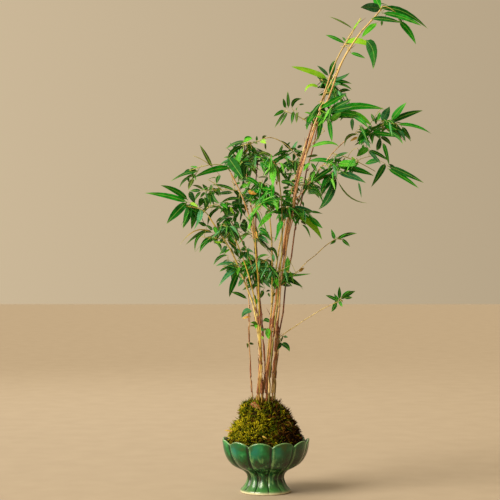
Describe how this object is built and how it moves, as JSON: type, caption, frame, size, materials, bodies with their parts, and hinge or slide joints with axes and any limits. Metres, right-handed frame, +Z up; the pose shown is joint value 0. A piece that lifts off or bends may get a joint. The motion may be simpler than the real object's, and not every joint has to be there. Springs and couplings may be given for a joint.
{
  "type": "potted bamboo plant",
  "caption": "Slender leaning bamboo clump with narrow leaves in sprays, growing from a mossy root ball in a green glazed bowl with lotus petals and a flared foot.",
  "frame": {"origin": "centre of the bowl's flat underside", "axes": "+Z up, +X to the right in the front view, the way the tall canes lean, and +Y away from the viewer"},
  "size_m": [0.4699, 0.3457, 0.8704],
  "materials": {
    "glaze": "gloss",
    "moss": "matte",
    "cane": "satin",
    "leaf": "satin"
  },
  "bodies": {
    "root": {"pot": "glaze", "root_ball": "moss", "cane_left_outer": "cane", "cane_left_inner": "cane", "cane_left_upper": "cane", "cane_left_thin": "cane", "cane_apex": "cane", "cane_mid_brown": "cane", "cane_mid_gold": "cane", "cane_mid_tall": "cane", "cane_tall_orange": "cane", "cane_tall_brown": "cane", "cane_tall_tan": "cane", "cane_right_back": "cane", "cane_right_front": "cane", "cane_back_left": "cane", "cane_back_right": "cane", "cane_front": "cane", "bough_arch": "cane", "bough_fan": "cane", "bough_reach_low": "cane", "bough_reach_mid": "cane", "spray_top_tip": "leaf", "spray_top_mid": "leaf", "spray_top_left": "leaf", "spray_upper_left": "leaf", "spray_upper_right": "leaf", "spray_shoulder": "leaf", "spray_shoulder_hang": "leaf", "spray_small_left": "leaf", "spray_fan_out": "leaf", "spray_fan_hang": "leaf", "spray_fan_drop": "leaf", "spray_star": "leaf", "spray_bright": "leaf", "spray_heart_right": "leaf", "spray_heart_left": "leaf", "spray_bundle": "leaf", "spray_crest": "leaf", "spray_core": "leaf", "spray_core_left": "leaf", "spray_arch": "leaf", "spray_wing": "leaf", "spray_lace": "leaf", "spray_left_upper": "leaf", "spray_far_left": "leaf", "spray_left_hang": "leaf", "spray_left_inner": "leaf", "spray_low_left": "leaf", "spray_low_outer": "leaf", "spray_low_front": "leaf", "spray_low_heart": "leaf", "spray_low_back": "leaf", "spray_low_right": "leaf", "spray_reach_low": "leaf", "spray_reach_mid": "leaf", "spray_back_left": "leaf", "spray_back_right": "leaf", "spray_back_low": "leaf", "spray_front": "leaf"}
  },
  "joints": []
}
